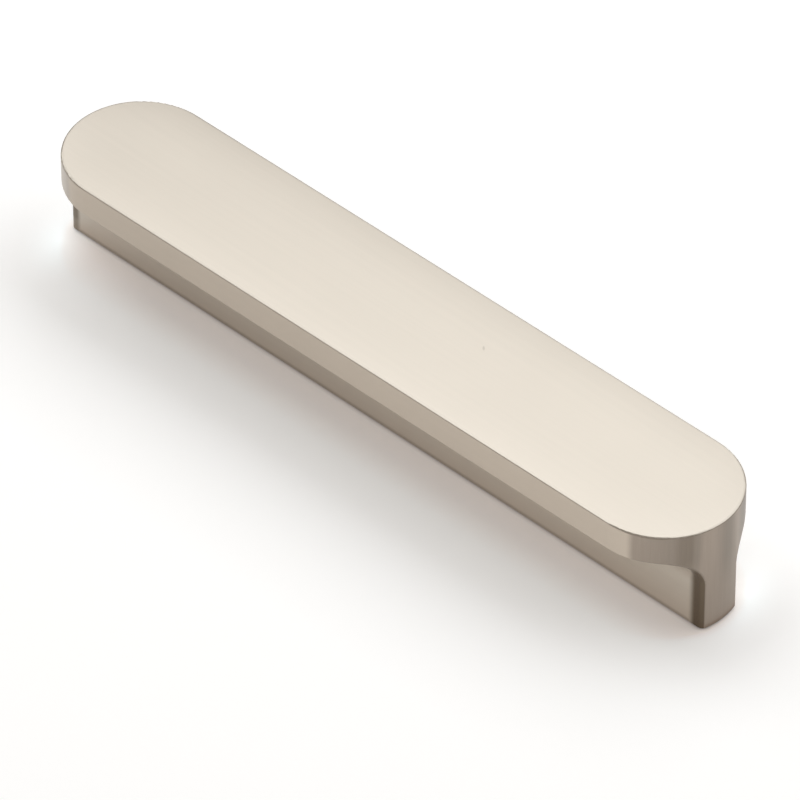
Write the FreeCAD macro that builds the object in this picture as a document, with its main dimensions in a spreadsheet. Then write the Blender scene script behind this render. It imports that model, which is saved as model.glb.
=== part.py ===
import FreeCAD, Part

import math
import os

import Sketcher
from FreeCAD import Vector

# A one-piece cabinet pull: a flat bar with half-round ends, carried on a thin upright web.
# X runs along the pull, Y across it, and Z from the cabinet front up to the face.
# The origin is the middle of the foot of the web, on the surface that the pull is fixed to.

NODE = "cabinet_pull"

# Every driving size in millimetres, with what it measures.
SIZES = [
    ("face_length", 163.0, "overall length, over both half-round ends"),
    ("face_width", 30.0, "overall width, and so twice the radius of the ends"),
    ("pull_height", 24.5, "cabinet front to the face"),
    ("plate_thickness", 6.5, "height of the rim round the face"),
    ("web_thickness", 9.5, "the upright web, front to back"),
    ("recess_radius", 7.5, "hollow curve from the web into the underside of the plate"),
    ("web_corner_radius", 1.2, "soft upright corners at both ends of the web"),
    ("rim_edge_radius", 0.5, "lower edge of the rim"),
    ("face_edge_radius", 0.3, "upper edge of the rim"),
    ("foot_chamfer", 0.4, "edge break round the foot of the web"),
    ("hole_centres", 128.0, "between the two screw holes, a standard spacing"),
    ("thread_diameter", 4.0, "nominal size of the metric coarse thread"),
    ("thread_pitch", 0.7, "pitch of that thread"),
    ("drill_depth", 14.0, "full-diameter depth of each screw hole"),
    ("drill_point_angle", 118.0, "included angle at the bottom of each hole"),
    ("mouth_allowance", 0.4, "how far the countersunk mouth opens past the thread"),
    ("mouth_angle", 90.0, "included angle of the countersunk mouth"),
]

# Sizes worked out from the driving ones, as sheet formulas.
DERIVED = [
    ("end_spacing", "=face_length - face_width", "between the centres of the half-round ends"),
    ("underside_height", "=pull_height - plate_thickness", "foot to the underside of the plate"),
    ("recess_start_height", "=pull_height - plate_thickness - recess_radius", "foot to the hollow curve"),
    ("tapping_drill", "=thread_diameter - thread_pitch", "bore of the holes, before the thread"),
    ("mouth_diameter", "=thread_diameter + mouth_allowance", "countersunk mouth of the holes"),
]

# Points closer together than this count as one, in millimetres.
TOUCH = 0.01


def make_sheet(doc):
    """Put the sizes in a spreadsheet, one row each: name, value, meaning."""
    sheet = doc.addObject("Spreadsheet::Sheet", "Sizes")
    for row, (name, value, meaning) in enumerate(SIZES + DERIVED, start=1):
        sheet.set(f"A{row}", name)
        sheet.set(f"B{row}", str(value))
        sheet.set(f"C{row}", meaning)
        sheet.setAlias(f"B{row}", name)
    doc.recompute()
    return sheet


def origin_plane(body, role):
    """The body's own reference plane of that role, such as XY_Plane."""
    return next(item for item in body.Origin.OriginFeatures if item.Role == role)


def add_sketch(body, name, role):
    """An empty sketch on one of the body's own origin planes."""
    sketch = body.newObject("Sketcher::SketchObject", name)
    sketch.AttachmentSupport = [(origin_plane(body, role), "")]
    sketch.MapMode = "FlatFace"
    return sketch


def add_dimension(sketch, name, constraint, formula):
    """A dimension of the sketch that follows a formula of the sheet."""
    index = sketch.addConstraint(constraint)
    sketch.renameConstraint(index, name)
    sketch.setExpression(f"Constraints.{name}", formula)


def draw_outline(body, sheet):
    """The outline of the face seen from above: a straight bar with half-round ends."""
    radius = sheet.face_width / 2
    reach = sheet.end_spacing / 2
    right, left = Vector(reach, 0, 0), Vector(-reach, 0, 0)
    quarter = math.pi / 2
    up = Vector(0, 0, 1)
    sketch = add_sketch(body, "FaceOutline", "XY_Plane")
    front = sketch.addGeometry(Part.LineSegment(Vector(-reach, -radius, 0), Vector(reach, -radius, 0)))
    right_end = sketch.addGeometry(Part.ArcOfCircle(Part.Circle(right, up, radius), -quarter, quarter))
    back = sketch.addGeometry(Part.LineSegment(Vector(reach, radius, 0), Vector(-reach, radius, 0)))
    left_end = sketch.addGeometry(Part.ArcOfCircle(Part.Circle(left, up, radius), quarter, 3 * quarter))
    sketch.addConstraint(Sketcher.Constraint("Tangent", front, 2, right_end, 1))
    sketch.addConstraint(Sketcher.Constraint("Tangent", right_end, 2, back, 1))
    sketch.addConstraint(Sketcher.Constraint("Tangent", back, 2, left_end, 1))
    sketch.addConstraint(Sketcher.Constraint("Tangent", left_end, 2, front, 1))
    sketch.addConstraint(Sketcher.Constraint("Horizontal", front))
    sketch.addConstraint(Sketcher.Constraint("Symmetric", left_end, 3, right_end, 3, -1, 1))
    add_dimension(sketch, "end_radius", Sketcher.Constraint("Radius", right_end, radius),
                  "Sizes.face_width / 2")
    add_dimension(sketch, "end_spacing",
                  Sketcher.Constraint("DistanceX", left_end, 3, right_end, 3, sheet.end_spacing),
                  "Sizes.end_spacing")
    return sketch


def draw_recess(body, sheet):
    """The finger recess in front of the web, as a section across the pull.

    It goes up the web, turns out along the hollow curve, follows the underside of the plate
    and runs out past the rim. The cut is as wide as the face, so it always clears the rim.
    """
    web_face = -sheet.web_thickness / 2
    outside = -sheet.face_width
    curve_start = sheet.recess_start_height
    underside = sheet.underside_height
    curve_centre = Vector(web_face - sheet.recess_radius, curve_start, 0)
    curve_end = curve_centre.x
    sketch = add_sketch(body, "RecessSection", "YZ_Plane")
    web = sketch.addGeometry(Part.LineSegment(Vector(web_face, 0, 0), Vector(web_face, curve_start, 0)))
    circle = Part.Circle(curve_centre, Vector(0, 0, 1), sheet.recess_radius)
    curve = sketch.addGeometry(Part.ArcOfCircle(circle, 0, math.pi / 2))
    under = sketch.addGeometry(Part.LineSegment(Vector(curve_end, underside, 0), Vector(outside, underside, 0)))
    outer = sketch.addGeometry(Part.LineSegment(Vector(outside, underside, 0), Vector(outside, 0, 0)))
    foot = sketch.addGeometry(Part.LineSegment(Vector(outside, 0, 0), Vector(web_face, 0, 0)))
    sketch.addConstraint(Sketcher.Constraint("Tangent", web, 2, curve, 1))
    sketch.addConstraint(Sketcher.Constraint("Tangent", curve, 2, under, 1))
    sketch.addConstraint(Sketcher.Constraint("Coincident", under, 2, outer, 1))
    sketch.addConstraint(Sketcher.Constraint("Coincident", outer, 2, foot, 1))
    sketch.addConstraint(Sketcher.Constraint("Coincident", foot, 2, web, 1))
    sketch.addConstraint(Sketcher.Constraint("Vertical", web))
    sketch.addConstraint(Sketcher.Constraint("Horizontal", under))
    sketch.addConstraint(Sketcher.Constraint("Vertical", outer))
    sketch.addConstraint(Sketcher.Constraint("Horizontal", foot))
    sketch.addConstraint(Sketcher.Constraint("PointOnObject", web, 1, -1))
    add_dimension(sketch, "half_web", Sketcher.Constraint("DistanceX", web, 1, -1, 1, -web_face),
                  "Sizes.web_thickness / 2")
    add_dimension(sketch, "recess_radius", Sketcher.Constraint("Radius", curve, sheet.recess_radius),
                  "Sizes.recess_radius")
    add_dimension(sketch, "underside_height", Sketcher.Constraint("DistanceY", -1, 1, under, 1, underside),
                  "Sizes.underside_height")
    add_dimension(sketch, "run_out", Sketcher.Constraint("DistanceX", outer, 1, -1, 1, -outside),
                  "Sizes.face_width")
    return sketch


def draw_hole_centres(body, sheet):
    """The two screw positions, on the middle line of the foot."""
    reach = sheet.hole_centres / 2
    sketch = add_sketch(body, "HoleCentres", "XY_Plane")
    holes = [sketch.addGeometry(Part.Circle(Vector(x, 0, 0), Vector(0, 0, 1), sheet.tapping_drill / 2))
             for x in (-reach, reach)]
    left, right = holes
    sketch.addConstraint(Sketcher.Constraint("Symmetric", left, 3, right, 3, -1, 1))
    sketch.addConstraint(Sketcher.Constraint("PointOnObject", right, 3, -1))
    sketch.addConstraint(Sketcher.Constraint("Equal", left, right))
    add_dimension(sketch, "hole_centres",
                  Sketcher.Constraint("DistanceX", left, 3, right, 3, sheet.hole_centres),
                  "Sizes.hole_centres")
    add_dimension(sketch, "tapping_drill",
                  Sketcher.Constraint("Diameter", right, sheet.tapping_drill),
                  "Sizes.tapping_drill")
    return sketch


def make_bar(doc, sheet):
    """The pull with its section, half-round ends, screw holes and face edge."""
    body = doc.addObject("PartDesign::Body", "Bar")

    blank = body.newObject("PartDesign::Pad", "Blank")
    blank.Profile = draw_outline(body, sheet)
    blank.setExpression("Length", "Sizes.pull_height")
    doc.recompute()

    recess = body.newObject("PartDesign::Pocket", "FingerRecess")
    recess.Profile = draw_recess(body, sheet)
    recess.Type = "ThroughAll"
    recess.Midplane = True
    doc.recompute()
    check_cut(blank, recess)

    both_recesses = body.newObject("PartDesign::Mirrored", "BothRecesses")
    both_recesses.Originals = [recess]
    both_recesses.MirrorPlane = (origin_plane(body, "XZ_Plane"), [""])
    body.Tip = both_recesses
    doc.recompute()
    check_cut(recess, both_recesses)

    centres = draw_hole_centres(body, sheet)
    holes = body.newObject("PartDesign::Hole", "ScrewHoles")
    holes.Profile = centres
    doc.recompute()
    holes.Reversed = True
    holes.DepthType = "Dimension"
    holes.HoleCutType = "Countersink"
    holes.HoleCutCustomValues = True
    holes.DrillPoint = "Angled"
    holes.setExpression("Diameter", "Sizes.tapping_drill")
    holes.setExpression("Depth", "Sizes.drill_depth")
    holes.setExpression("DrillPointAngle", "Sizes.drill_point_angle")
    holes.setExpression("HoleCutDiameter", "Sizes.mouth_diameter")
    holes.setExpression("HoleCutCountersinkAngle", "Sizes.mouth_angle")
    doc.recompute()
    check_cut(both_recesses, holes)

    face_edge = body.newObject("PartDesign::Fillet", "FaceEdge")
    face_edge.Base = (holes, edge_names(holes.Shape, lambda edge: stays_at(edge, sheet.pull_height)))
    face_edge.setExpression("Radius", "Sizes.face_edge_radius")
    body.Tip = face_edge
    doc.recompute()
    return body


def check_cut(before, after):
    """A cut that points away from the metal leaves its volume as it was."""
    if after.Shape.Volume >= before.Shape.Volume:
        raise RuntimeError(f"{after.Name} cuts nothing")


def edge_points(edge):
    """The two ends and the middle of an edge."""
    first, last = edge.ParameterRange
    return [edge.valueAt(at) for at in (first, (first + last) / 2, last)]


def stays_at(edge, height):
    """Whether an edge lies wholly at one height."""
    return all(abs(point.z - height) < TOUCH for point in edge_points(edge))


def edge_numbers(shape, wanted):
    """The numbers, from 1, of the edges that are wanted."""
    return [number for number, edge in enumerate(shape.Edges, start=1) if wanted(edge)]


def edge_names(shape, wanted):
    return [f"Edge{number}" for number in edge_numbers(shape, wanted)]


def on_outline(point, sheet):
    """Whether a point lies on the upright wall that bounds the pull seen from above."""
    beyond = max(abs(point.x) - sheet.end_spacing / 2, 0)
    return abs(math.hypot(beyond, point.y) - sheet.face_width / 2) < TOUCH


def corner_radius_at(height, sheet):
    """Soft on the web, and narrowing up the hollow curve to the crisp lower edge of the rim."""
    rise = (height - sheet.recess_start_height) / sheet.recess_radius
    share = min(max(rise, 0), 1)
    return sheet.web_corner_radius + share * (sheet.rim_edge_radius - sheet.web_corner_radius)


def round_corners(doc, sheet, bar):
    """Round the recess where the outline cuts it: up the web's corners and along the rim.

    On each side of the web these edges make one chain, which climbs one end, follows the rim
    along X and comes down the other end. A chain runs the way of its first edge, the long
    straight one, so each edge's radii are given in the order in which x grows that way.
    """
    edges = bar.Shape.Edges

    def wanted(edge):
        points = edge_points(edge)
        rises_from_rim = (points[0].z > sheet.underside_height - TOUCH
                          and not stays_at(edge, sheet.underside_height))
        return (all(on_outline(point, sheet) for point in points)
                and not stays_at(edge, 0) and not rises_from_rim)

    chain = sorted(edge_numbers(bar.Shape, wanted), key=lambda number: -edges[number - 1].Length)
    start, _, end = edge_points(edges[chain[0] - 1])
    heading = math.copysign(1, end.x - start.x)
    radii = []
    for number in chain:
        first, _, last = sorted(edge_points(edges[number - 1]), key=lambda point: heading * point.x)
        radii.append((number, corner_radius_at(first.z, sheet), corner_radius_at(last.z, sheet)))
    rounded = doc.addObject("Part::Fillet", "RoundedCorners")
    rounded.Base = bar
    rounded.Edges = radii
    doc.recompute()
    return rounded


def break_foot_edge(doc, sheet, rounded):
    """Take the sharpness off the outline of the foot, but not off the screw holes."""
    def wanted(edge):
        on_hole = all(abs(math.hypot(abs(point.x) - sheet.hole_centres / 2, point.y)
                          - sheet.mouth_diameter / 2) < TOUCH for point in edge_points(edge))
        return stays_at(edge, 0) and not on_hole

    finished = doc.addObject("Part::Chamfer", "Finished")
    finished.Base = rounded
    width = sheet.foot_chamfer
    finished.Edges = [(number, width, width) for number in edge_numbers(rounded.Shape, wanted)]
    doc.recompute()
    return finished


def check_document(doc):
    """Stop if anything in the document failed to build."""
    for item in doc.Objects:
        if "Invalid" in item.State or "Error" in item.State:
            raise RuntimeError(f"{item.Name} failed: {item.State}")


def export_part(part):
    """Write one sub-part to parts/, named by its label."""
    if part.Shape.isNull() or not part.Shape.isValid():
        raise RuntimeError(f"{part.Label} has no valid shape")
    os.makedirs("parts", exist_ok=True)
    part.Shape.exportStep(os.path.join("parts", part.Label + ".step"))


def main():
    doc = FreeCAD.newDocument("CabinetPull")
    sheet = make_sheet(doc)
    bar = make_bar(doc, sheet)
    rounded = round_corners(doc, sheet, bar)
    pull = break_foot_edge(doc, sheet, rounded)
    pull.Label = NODE
    pull.Placement = FreeCAD.Placement()
    doc.recompute()
    check_document(doc)
    export_part(pull)


main()
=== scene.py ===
import math

import bmesh
import bpy
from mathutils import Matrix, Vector


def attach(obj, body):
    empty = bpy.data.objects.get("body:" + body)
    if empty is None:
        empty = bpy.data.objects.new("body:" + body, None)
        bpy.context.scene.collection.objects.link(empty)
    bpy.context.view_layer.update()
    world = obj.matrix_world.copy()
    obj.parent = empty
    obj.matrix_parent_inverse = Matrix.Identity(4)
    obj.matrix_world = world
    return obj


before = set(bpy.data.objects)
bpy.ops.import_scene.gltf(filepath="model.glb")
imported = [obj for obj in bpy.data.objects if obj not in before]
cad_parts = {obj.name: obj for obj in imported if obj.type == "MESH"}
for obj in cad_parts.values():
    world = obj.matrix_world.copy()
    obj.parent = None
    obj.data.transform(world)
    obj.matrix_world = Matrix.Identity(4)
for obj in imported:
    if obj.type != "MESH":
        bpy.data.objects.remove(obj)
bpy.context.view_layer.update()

# Everything is in metres, in the frame of the CAD model: the origin is at the middle of the foot,
# +X runs along the pull and +Z goes up to its face.
MM = 0.001

# Sizes of the pull that the materials and the threads follow.
FACE_HEIGHT = 24.5 * MM
END_CENTRE = 66.5 * MM
END_RADIUS = 15.0 * MM
RIM_BOTTOM = 18.0 * MM
WEB_HALF = 4.75 * MM
RECESS_RADIUS = 7.5 * MM
FOOT_CORNER = 1.57 * MM
HOLE_OFFSET = 64.0 * MM
BORE_RADIUS = 1.65 * MM
BORE_DEPTH = 14.0 * MM
MOUTH_DEPTH = 0.55 * MM
THREAD_PITCH = 0.7 * MM

# Camera, fitted to the outline in the photograph.
IMAGE_SIDE = 800
CAMERA_AZIMUTH = math.radians(43.566)
CAMERA_ELEVATION = math.radians(42.070)
CAMERA_DISTANCE = 1.7236
CAMERA_FOCAL = 9354.8
CAMERA_CLIP = (0.05, 50.0)
SENSOR_WIDTH = 36.0
FACE_CENTRE_AT = (396.83, 313.88)


def add_camera():
    back = Vector((
        math.sin(CAMERA_AZIMUTH) * math.cos(CAMERA_ELEVATION),
        -math.cos(CAMERA_AZIMUTH) * math.cos(CAMERA_ELEVATION),
        math.sin(CAMERA_ELEVATION),
    ))
    right = Vector((math.cos(CAMERA_AZIMUTH), math.sin(CAMERA_AZIMUTH), 0.0))
    up = back.cross(right)
    per_pixel = CAMERA_DISTANCE / CAMERA_FOCAL
    off_right = (FACE_CENTRE_AT[0] - IMAGE_SIDE / 2) * per_pixel
    off_up = (IMAGE_SIDE / 2 - FACE_CENTRE_AT[1]) * per_pixel
    face_centre = Vector((0.0, 0.0, FACE_HEIGHT))
    aim = face_centre - right * off_right - up * off_up
    data = bpy.data.cameras.new("camera")
    data.sensor_width = SENSOR_WIDTH
    data.lens = CAMERA_FOCAL * SENSOR_WIDTH / IMAGE_SIDE
    data.clip_start, data.clip_end = CAMERA_CLIP
    camera = bpy.data.objects.new("camera", data)
    camera.location = aim + back * CAMERA_DISTANCE
    camera.rotation_mode = "QUATERNION"
    camera.rotation_quaternion = back.to_track_quat("Z", "Y")
    bpy.context.scene.collection.objects.link(camera)
    bpy.context.scene.camera = camera


# Light: a soft box above the left end, a long one above and behind, a weak one in front, and an
# even warm world. A lamp's level is its radiance, where 1 is as bright as a lit white surface. A
# lamp that isn't aimed at the origin faces straight down.
WORLD_LEVEL = 0.35
WORLD_COLOUR = (1.0, 0.92, 0.83, 1.0)
LAMP_COLOUR = (0.965, 1.0, 1.035)
LAMPS = {
    "left_box": {"at": (-1.2, 0.0, 1.3), "size": (1.6, 0.8), "level": 2.25, "aimed": False},
    "back_box": {"at": (0.4, 1.2, 1.3), "size": (3.2, 1.6), "level": 1.58, "aimed": False},
    "front_fill": {"at": (1.5, -1.9, 0.75), "size": (2.4, 1.0), "level": 0.3, "aimed": True},
}


def add_lamp(name, at, size, level, aimed):
    data = bpy.data.lights.new(name, "AREA")
    data.shape = "RECTANGLE"
    data.size, data.size_y = size
    data.energy = level * math.pi * size[0] * size[1]
    data.color = LAMP_COLOUR
    lamp = bpy.data.objects.new(name, data)
    lamp.location = at
    lamp.visible_camera = False
    if aimed:
        lamp.rotation_mode = "QUATERNION"
        lamp.rotation_quaternion = Vector(at).to_track_quat("Z", "Y")
    bpy.context.scene.collection.objects.link(lamp)


def add_world():
    world = bpy.data.worlds.new("studio")
    world.use_nodes = True
    bpy.context.scene.world = world
    background = world.node_tree.nodes["Background"]
    background.inputs["Color"].default_value = WORLD_COLOUR
    background.inputs["Strength"].default_value = WORLD_LEVEL


# A small helper for node materials: every call adds nodes and links or sets their inputs.
class Nodes:
    def __init__(self, material):
        material.use_nodes = True
        self.tree = material.node_tree
        self.tree.nodes.clear()

    def add(self, kind, inputs=None, **settings):
        node = self.tree.nodes.new(kind)
        for name, value in settings.items():
            setattr(node, name, value)
        for name, value in (inputs or {}).items():
            socket = node.inputs[name]
            if isinstance(value, bpy.types.NodeSocket):
                self.tree.links.new(value, socket)
            else:
                socket.default_value = value
        return node

    def math(self, operation, *values, clamp=False):
        node = self.add("ShaderNodeMath", dict(enumerate(values)), operation=operation, use_clamp=clamp)
        return node.outputs[0]

    def sum(self, first, *others):
        for other in others:
            first = self.math("ADD", first, other)
        return first

    def product(self, first, *others):
        for other in others:
            first = self.math("MULTIPLY", first, other)
        return first

    def past(self, value, start):
        # How far value goes past start, or zero.
        return self.math("MAXIMUM", self.math("SUBTRACT", value, start), 0.0)

    def hypotenuse(self, a, b):
        return self.math("SQRT", self.sum(self.product(a, a), self.product(b, b)))

    def vector(self, operation, *values):
        node = self.add("ShaderNodeVectorMath", dict(enumerate(values)), operation=operation)
        return node.outputs[0]

    def join(self, x=0.0, y=0.0, z=0.0):
        return self.add("ShaderNodeCombineXYZ", {0: x, 1: y, 2: z}).outputs[0]

    def split(self, vector):
        return self.add("ShaderNodeSeparateXYZ", {0: vector}).outputs

    def sizes_of(self, parts):
        return [self.math("ABSOLUTE", parts[axis]) for axis in range(3)]

    def ramp(self, value, low, high, to_low=0.0, to_high=1.0, linear=False):
        # A smooth or straight step of value between low and high.
        node = self.add(
            "ShaderNodeMapRange",
            {"Value": value, "From Min": low, "From Max": high, "To Min": to_low, "To Max": to_high},
            interpolation_type="LINEAR" if linear else "SMOOTHSTEP",
        )
        return node.outputs[0]

    def fade(self, value, low, high, linear=False):
        return self.ramp(value, low, high, 1.0, 0.0, linear)

    def noise(self, where, scale, detail=2.0, roughness=0.5):
        node = self.add(
            "ShaderNodeTexNoise",
            {"Vector": where, "Scale": scale, "Detail": detail, "Roughness": roughness},
        )
        return node.outputs["Fac"]

    def brush(self, where, stretch, detail, roughness):
        return self.noise(self.vector("MULTIPLY", where, stretch), 1.0, detail, roughness)

    def off_middle(self, where, middle, turn, half_lengths):
        # How far where lies from middle, in half lengths of a box turned about +Z.
        node = self.add(
            "ShaderNodeMapping",
            {"Vector": where, "Location": middle, "Rotation": (0.0, 0.0, turn), "Scale": half_lengths},
            vector_type="TEXTURE",
        )
        node = self.add("ShaderNodeVectorMath", {0: node.outputs[0]}, operation="LENGTH")
        return node.outputs["Value"]

    def mix(self, share, low, high):
        node = self.add("ShaderNodeMix", {0: share, 2: low, 3: high}, data_type="FLOAT")
        return node.outputs[0]

    def mix_vector(self, share, low, high):
        node = self.add("ShaderNodeMix", {0: share, 4: low, 5: high}, data_type="VECTOR")
        return node.outputs[1]

    def mix_colour(self, share, low, high, blend="MIX"):
        node = self.add("ShaderNodeMix", {0: share, 6: low, 7: high}, data_type="RGBA", blend_type=blend)
        return node.outputs[2]


# Satin nickel. The face, the web and the straight rim are brushed along the pull, and the
# half-round ends up and down, so their sheen changes where the rim starts to turn. The ends'
# darker nickel is partly that finish and partly painted shade, and the left end is painted
# lighter with painted light. Each range below says where a mask starts and ends: a size for a
# place, and a part of the surface's normal for a direction.
NICKEL = (0.60, 0.548, 0.478, 1.0)
# The rim's upright walls get a darker, warmer copy of the nickel: painted shade.
NICKEL_RIM_SHADED = (0.56, 0.49, 0.412, 1.0)
NICKEL_END = (0.35, 0.295, 0.247, 1.0)
NICKEL_END_LEFT_PAINTED_LIGHT = (0.475, 0.43, 0.378, 1.0)
NICKEL_TURN_LEFT_PAINTED_LIGHT = (0.40, 0.35, 0.30, 1.0)
NICKEL_BAND_PAINTED_REFLECTION = (0.25, 0.215, 0.18, 1.0)
NICKEL_DARK = (0.15, 0.117, 0.084, 1.0)
NICKEL_EDGE = (0.44, 0.40, 0.345, 1.0)
ANISOTROPY = 0.6
UPRIGHT_FACING = (0.35, 0.65)
WALL_RANGE = (0.12 * MM, 0.30 * MM)
TURN_FACING = (0.26, 0.37)
TURN_LEFT_FACING = (0.25, 0.50)

# Polishing has rolled the face a little across, towards its long sides, and less to the front.
FACE_FACING = (0.98, 0.999)
ROLL_AMOUNT = 0.065
ROLL_WIDTH = 13.0 * MM
ROLL_POWER = 2.0
ROLL_FRONT_SHARE = 0.6
AXIS_GUARD = 1.0 * MM

# Brush lines: how much each noise is squeezed along X, Y and Z, its detail and its roughness.
FINE_ALONG = ((90.0, 9000.0, 9000.0), 3.0, 0.6)
FINE_UP = ((7000.0, 7000.0, 120.0), 3.0, 0.6)
WIDE_ALONG = ((18.0, 900.0, 900.0), 2.0, 0.5)
WIDE_UP = ((420.0, 420.0, 14.0), 3.0, 0.6)
LINES_SHADE = (0.12, 0.44)
CLOUD_SCALE = 45.0
CLOUD_SHADE = 0.02
# Painted light: the sides grow lighter towards the right.
SIDE_PAINTED_LIGHT = (-0.08, 0.07)
ROUGHNESS = 0.40
ROUGHNESS_END = 0.34
ROUGHNESS_FINE = 0.05
ROUGHNESS_WIDE = 0.03
ROUGHNESS_EDGE = 0.08
BUMP_STRENGTH = 0.10
BUMP_DEPTH = 0.03 * MM

# The upper edge of the rim: painted shade makes it darker than the face, dimming its highlight.
EDGE_SIDE_RANGE = (0.1 * MM, 0.70 * MM)
EDGE_TOP_RANGE = (FACE_HEIGHT - 0.15 * MM, FACE_HEIGHT - 0.01 * MM)
EDGE_SHADE = 0.75

# Painted shade on the rounded corners of the web. It narrows up the hollow curve, and on the
# left it is tighter and less dark.
CORNER_RANGE = (1.7 * MM, 3.5 * MM)
CORNER_NARROW_RANGE = (RIM_BOTTOM - RECESS_RADIUS, RIM_BOTTOM - 0.8 * MM)
CORNER_NARROW_TO = 0.25
CORNER_WALL_RANGE = (0.01 * MM, 0.09 * MM)
CORNER_TOP_RANGE = (RIM_BOTTOM - 3.5 * MM, RIM_BOTTOM - 0.8 * MM)
CORNER_LEFT_RANGE = (2.5 * MM, 4.0 * MM)
CORNER_LEFT_SHADE = (0.62, 0.8)
CORNER_LEFT_TIGHTER = 1.3

# Painted shade: a thin dark line above the broken edge round the foot.
FOOT_RANGE = (0.70 * MM, 1.50 * MM)
FOOT_FACING = (-0.95, -0.8)
FOOT_SHADE = 0.36

# Painted dark reflections: a darker band where the right end turns away from the long side,
# darkest near its far edge, and a second one just past the middle of the end.
BAND_RISE = (0.30, 0.90)
BAND_FALL = (0.92, 0.96)
BAND_HEIGHT = (RIM_BOTTOM - 7.0 * MM, RIM_BOTTOM + 1.0 * MM)
BAND_SHARE = 0.75
DIP_RISE = (0.74, 0.84)
DIP_FALL = (0.88, 0.92)
DIP_SHARE = 0.35
FAR_BAND_RISE = (-0.17, 0.06)
FAR_BAND_FALL = (0.10, 0.28)
FAR_BAND_HEIGHT = (6.0 * MM, 17.0 * MM)
FAR_BAND_SHARE = (0.2, 0.9)

# A small dent on the face, drawn as painted shade: its middle, half lengths, turn about +Z and
# how much it darkens.
MARK_AT = (18.1 * MM, 4.1 * MM, FACE_HEIGHT)
MARK_SIZE = (0.85 * MM, 0.30 * MM, 0.5 * MM)
MARK_TURN = math.radians(-46.0)
MARK_RANGE = (0.3, 1.0)
MARK_SHADE = 0.27


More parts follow.
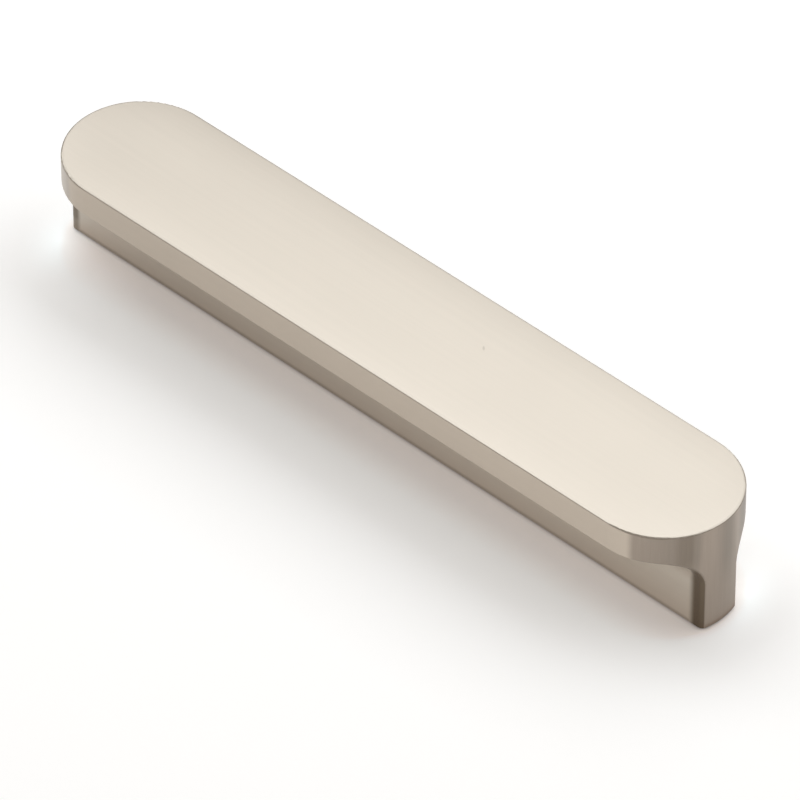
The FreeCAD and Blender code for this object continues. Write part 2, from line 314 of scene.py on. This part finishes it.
def nickel_material():
    material = bpy.data.materials.new("satin_nickel_brushed")
    n = Nodes(material)
    place = n.add("ShaderNodeTexCoord").outputs["Object"]
    facing = n.add("ShaderNodeNewGeometry").outputs["Normal"]
    at = n.split(place)
    to = n.split(facing)
    x, y, z = n.sizes_of(at)
    to_x, _, to_z = n.sizes_of(to)
    to_right = n.math("GREATER_THAN", at[0], 0.0)

    # How far a point lies inside the outline of the face, and short of its round end.
    from_axis = n.hypotenuse(n.past(x, END_CENTRE), y)
    inside = n.math("SUBTRACT", END_RADIUS, from_axis)
    across = n.math("SUBTRACT", END_RADIUS * END_RADIUS, n.product(y, y))
    end_at = n.sum(n.math("SQRT", n.math("MAXIMUM", across, 0.0)), END_CENTRE)
    short = n.math("SUBTRACT", end_at, x)

    # The rolled face.
    on_face = n.ramp(to[2], *FACE_FACING)
    rolled = n.math("POWER", n.fade(inside, 0.0, ROLL_WIDTH, linear=True), ROLL_POWER)
    sideways = n.math("DIVIDE", at[1], n.math("MAXIMUM", from_axis, AXIS_GUARD))
    sideways = n.math("MAXIMUM", sideways, -ROLL_FRONT_SHARE)
    lean = n.join(y=n.product(rolled, on_face, ROLL_AMOUNT, sideways))
    facing = n.vector("NORMALIZE", n.vector("ADD", facing, lean))

    # The rim, the half-round ends, and what is neither end nor face.
    rim = n.product(n.fade(to_z, *UPRIGHT_FACING), n.fade(inside, *WALL_RANGE))
    end = n.product(rim, n.ramp(to_x, *TURN_FACING))
    straight = n.product(n.math("SUBTRACT", 1.0, on_face), n.math("SUBTRACT", 1.0, end))

    # The painted places: shade on the edge, corners, foot and mark, and dark reflections in bands.
    edge = n.product(n.fade(inside, *EDGE_SIDE_RANGE), n.ramp(z, *EDGE_TOP_RANGE))
    narrow = n.ramp(z, *CORNER_NARROW_RANGE, 1.0, CORNER_NARROW_TO)
    reach = n.product(short, n.mix(to_right, CORNER_LEFT_TIGHTER, 1.0))
    beside = n.fade(n.math("DIVIDE", reach, narrow), *CORNER_RANGE)
    off_wall = n.ramp(inside, *CORNER_WALL_RANGE)
    below_rim = n.fade(z, *CORNER_TOP_RANGE)
    left_shade = n.ramp(z, *CORNER_LEFT_RANGE, *CORNER_LEFT_SHADE)
    # Painted shade in the web's corners.
    corner = n.product(beside, off_wall, below_rim, n.mix(to_right, left_shade, 1.0))
    # Painted shade along the foot.
    foot = n.product(n.ramp(z, *FOOT_RANGE, FOOT_SHADE, 0.0), n.ramp(to[2], *FOOT_FACING))
    right_end = n.product(end, to_right)
    # Painted dark reflections in bands on the right end.
    band = n.product(n.ramp(to_x, *BAND_RISE), n.fade(to_x, *BAND_FALL), n.ramp(z, *BAND_HEIGHT))
    band = n.product(band, right_end)
    dip = n.product(n.ramp(to_x, *DIP_RISE), n.fade(to_x, *DIP_FALL), band, DIP_SHARE)
    far = n.product(to[1], n.math("SIGN", at[0]))
    far_band = n.product(n.ramp(far, *FAR_BAND_RISE), n.fade(far, *FAR_BAND_FALL), right_end)
    far_band = n.product(far_band, n.ramp(z, *FAR_BAND_HEIGHT, *FAR_BAND_SHARE))
    off_mark = n.off_middle(place, MARK_AT, MARK_TURN, MARK_SIZE)
    # Painted shade of a small dent on the face.
    mark = n.ramp(off_mark, *MARK_RANGE, MARK_SHADE, 0.0)

    # Painted light makes the left end lighter; the right end's darker tone is partly finish, partly
    # painted shade.
    end_tone = n.mix_colour(n.ramp(to_x, *TURN_LEFT_FACING), NICKEL_TURN_LEFT_PAINTED_LIGHT, NICKEL_END_LEFT_PAINTED_LIGHT)
    end_tone = n.mix_colour(to_right, end_tone, NICKEL_END)
    painted_bands = n.math("MAXIMUM", n.product(band, BAND_SHARE), far_band)
    # Painted shade from the corners, the foot and the dent.
    painted_shade = n.math("MAXIMUM", n.math("MAXIMUM", corner, foot), mark)
    # Painted shade on the rim's upright walls.
    base = n.mix_colour(rim, NICKEL, NICKEL_RIM_SHADED)
    base = n.mix_colour(end, base, end_tone)
    base = n.mix_colour(painted_bands, base, NICKEL_BAND_PAINTED_REFLECTION)
    base = n.mix_colour(dip, base, NICKEL_DARK)
    base = n.mix_colour(painted_shade, base, NICKEL_DARK)
    # Painted shade on the rim's upper edge.
    base = n.mix_colour(n.product(edge, EDGE_SHADE), base, NICKEL_EDGE)

    # The brush lines, a faint cloud, and painted light that makes the sides lighter towards the right.
    fine = n.mix(end, n.brush(place, *FINE_ALONG), n.brush(place, *FINE_UP))
    wide = n.mix(end, n.brush(place, *WIDE_ALONG), n.brush(place, *WIDE_UP))
    cloud = n.noise(place, CLOUD_SCALE)
    lines = n.product(n.math("SUBTRACT", n.mix(0.5, fine, wide), 0.5), n.mix(end, *LINES_SHADE))
    painted_side_light = n.ramp(at[0], -END_CENTRE, END_CENTRE, *SIDE_PAINTED_LIGHT, linear=True)
    shade = n.sum(lines, 1.0, n.mix(cloud, -CLOUD_SHADE, CLOUD_SHADE), n.product(straight, painted_side_light))
    base = n.mix_colour(1.0, base, n.join(shade, shade, shade), "MULTIPLY")

    rough = n.sum(
        n.mix(end, ROUGHNESS, ROUGHNESS_END),
        n.mix(fine, -ROUGHNESS_FINE, ROUGHNESS_FINE),
        n.mix(wide, -ROUGHNESS_WIDE, ROUGHNESS_WIDE),
        n.product(edge, -ROUGHNESS_EDGE),
    )
    groove = n.mix_vector(end, (1.0, 0.0, 0.0), (0.0, 0.0, 1.0))
    tangent = n.vector("NORMALIZE", n.vector("CROSS_PRODUCT", facing, groove))
    bump = n.add("ShaderNodeBump", {
        "Strength": BUMP_STRENGTH,
        "Distance": BUMP_DEPTH,
        "Height": fine,
        "Normal": facing,
    })
    shader = n.add("ShaderNodeBsdfPrincipled", {
        "Base Color": base,
        "Metallic": 1.0,
        "Roughness": rough,
        "Anisotropic": ANISOTROPY,
        "Tangent": tangent,
        "Normal": bump.outputs[0],
    })
    n.add("ShaderNodeOutputMaterial", {"Surface": shader.outputs[0]})
    return material


# The thread of each bore: a ridge whose root lies just inside the wall of the CAD solid's plain
# bore, and which grows and shrinks over half a turn at its ends.
THREAD_ROOT = BORE_RADIUS + 0.02 * MM
THREAD_CREST = 1.40 * MM
THREAD_ROOT_HALF = 0.30 * MM
THREAD_CREST_HALF = 0.06 * MM
THREAD_START = MOUTH_DEPTH + 0.45 * MM
THREAD_END = BORE_DEPTH - 1.0 * MM
THREAD_STEPS = 40
THREAD_GROWS_OVER = 0.5
THREAD_LEAST = 0.02


def add_thread(name, centre_x, material):
    turns = (THREAD_END - THREAD_START) / THREAD_PITCH
    count = int(turns * THREAD_STEPS)
    mesh = bpy.data.meshes.new(name)
    bm = bmesh.new()
    rings = []
    for step in range(count + 1):
        angle = 2.0 * math.pi * step / THREAD_STEPS
        height = THREAD_START + THREAD_PITCH * step / THREAD_STEPS
        from_end = min(step, count - step) / (THREAD_STEPS * THREAD_GROWS_OVER)
        grown = min(1.0, from_end + THREAD_LEAST)
        crest = THREAD_ROOT - (THREAD_ROOT - THREAD_CREST) * grown
        section = (
            (THREAD_ROOT, -THREAD_ROOT_HALF * grown),
            (crest, -THREAD_CREST_HALF * grown),
            (crest, THREAD_CREST_HALF * grown),
            (THREAD_ROOT, THREAD_ROOT_HALF * grown),
        )
        ring = []
        for radius, lift in section:
            point = (
                centre_x + radius * math.cos(angle),
                radius * math.sin(angle),
                height + lift,
            )
            ring.append(bm.verts.new(point))
        rings.append(ring)
    for low, high in zip(rings, rings[1:]):
        for side in range(4):
            after = (side + 1) % 4
            bm.faces.new((low[side], low[after], high[after], high[side]))
    bm.faces.new(rings[0])
    bm.faces.new(reversed(rings[-1]))
    bmesh.ops.recalc_face_normals(bm, faces=bm.faces)
    bm.to_mesh(mesh)
    bm.free()
    piece = bpy.data.objects.new(name, mesh)
    bpy.context.scene.collection.objects.link(piece)
    mesh.materials.append(material)
    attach(piece, "root")


# The floor is white, open under the foot and see-through from below, so that the foot is lit
# where it is seen from below. A faint glow keeps it white.
FLOOR_HALF = 4.0
FLOOR_DROP = 0.02 * MM
OPENING = (80.0 * MM, 3.9 * MM)
FLOOR_COLOUR = (0.93, 0.925, 0.92, 1.0)
FLOOR_CLOUD_COLOUR = (0.94, 0.935, 0.93, 1.0)
FLOOR_CLOUD_SCALE = 6.0
FLOOR_GLOW = 0.24
FLOOR_GLOW_COLOUR = (0.97, 0.99, 1.0, 1.0)

# Painted shade, warmed by the pull's own colour, on the floor beside it, and less past its ends.
NEAR_SHADE_COLOUR = (0.885, 0.765, 0.70, 1.0)
NEAR_WIDTH = 13.0 * MM
NEAR_END_FACTOR = 6.0

# Painted contact shadow: the floor darkens where it meets the foot.
CONTACT_SHADOW_COLOUR = (0.487, 0.398, 0.35, 1.0)
CONTACT_RANGE = (-0.45 * MM, 1.0 * MM)
CONTACT_POWER = 2.6
CONTACT_GLOW = 0.4

# A soft patch of light beside each round end: its middle, half lengths, turn and level. The left
# one is the right one turned half round.
PATCH_AT = (79.8 * MM, 8.4 * MM, 0.0)
PATCH_SIZE = (14.5 * MM, 8.9 * MM, 10.0 * MM)
PATCH_TURN = math.radians(120.0)
PATCH_POWER = 2.0
PATCH_LEVEL = 0.25
PATCH_COLOUR = (0.78, 1.0, 1.06, 1.0)


def floor_material():
    material = bpy.data.materials.new("white_floor")
    n = Nodes(material)
    path = n.add("ShaderNodeLightPath").outputs
    seen = n.math("MAXIMUM", path["Is Camera Ray"], path["Is Glossy Ray"])
    seen = n.math("MAXIMUM", seen, path["Is Transmission Ray"])
    place = n.add("ShaderNodeTexCoord").outputs["Object"]
    at = n.split(place)
    x, y, _ = n.sizes_of(at)
    from_axis = n.hypotenuse(n.past(x, END_CENTRE), y)
    colour = n.mix_colour(n.noise(place, FLOOR_CLOUD_SCALE), FLOOR_COLOUR, FLOOR_CLOUD_COLOUR)

    # How far a point lies outside the foot, with the way past its ends counted more than once.
    beyond = n.product(n.past(from_axis, END_RADIUS), NEAR_END_FACTOR)
    reach = n.sum(n.past(y, WEB_HALF), beyond)
    # Painted warm shade on the floor beside the pull.
    colour = n.mix_colour(n.fade(reach, 0.0, NEAR_WIDTH), colour, NEAR_SHADE_COLOUR)

    # The same as a plain distance, which goes round the rounded corners of the foot.
    off_side = n.past(y, WEB_HALF - FOOT_CORNER)
    off_end = n.past(from_axis, END_RADIUS - FOOT_CORNER)
    away = n.math("SUBTRACT", n.hypotenuse(off_side, off_end), FOOT_CORNER)
    # Painted contact shadow round the foot.
    contact_shadow = n.math("POWER", n.fade(away, *CONTACT_RANGE, linear=True), CONTACT_POWER)
    colour = n.mix_colour(contact_shadow, colour, CONTACT_SHADOW_COLOUR)

    half_turned = n.join(x, n.product(at[1], n.math("SIGN", at[0])))
    off_patch = n.off_middle(half_turned, PATCH_AT, PATCH_TURN, PATCH_SIZE)
    patch = n.math("POWER", n.math("SUBTRACT", 1.0, off_patch, clamp=True), PATCH_POWER)
    patch = n.product(patch, path["Is Camera Ray"], PATCH_LEVEL)

    matt = n.add("ShaderNodeBsdfDiffuse", {"Color": colour})
    glow_level = n.product(seen, FLOOR_GLOW, n.mix(contact_shadow, 1.0, CONTACT_GLOW))
    glow = n.add("ShaderNodeEmission", {"Color": FLOOR_GLOW_COLOUR, "Strength": glow_level})
    lit = n.add("ShaderNodeEmission", {"Color": PATCH_COLOUR, "Strength": patch})
    top = n.add("ShaderNodeAddShader", {0: matt.outputs[0], 1: glow.outputs[0]})
    top = n.add("ShaderNodeAddShader", {0: top.outputs[0], 1: lit.outputs[0]})
    clear = n.add("ShaderNodeBsdfTransparent")
    under = n.add("ShaderNodeNewGeometry").outputs["Backfacing"]
    both = n.add("ShaderNodeMixShader", {0: under, 1: top.outputs[0], 2: clear.outputs[0]})
    n.add("ShaderNodeOutputMaterial", {"Surface": both.outputs[0]})
    return material


def add_floor():
    mesh = bpy.data.meshes.new("floor")
    signs = ((-1, -1), (1, -1), (1, 1), (-1, 1))
    outer = [(FLOOR_HALF * a, FLOOR_HALF * b, -FLOOR_DROP) for a, b in signs]
    inner = [(OPENING[0] * a, OPENING[1] * b, -FLOOR_DROP) for a, b in signs]
    faces = [(i, (i + 1) % 4, (i + 1) % 4 + 4, i + 4) for i in range(4)]
    mesh.from_pydata(outer + inner, [], faces)
    mesh.materials.append(floor_material())
    floor = bpy.data.objects.new("floor", mesh)
    bpy.context.scene.collection.objects.link(floor)


add_camera()
add_world()
for lamp_name, lamp_values in LAMPS.items():
    add_lamp(lamp_name, **lamp_values)
add_floor()

nickel = nickel_material()
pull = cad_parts["cabinet_pull"]
for material_slot in pull.material_slots:
    material_slot.material = nickel
add_thread("screw_thread_left", -HOLE_OFFSET, nickel)
add_thread("screw_thread_right", HOLE_OFFSET, nickel)

bpy.context.scene.view_settings.view_transform = "Standard"
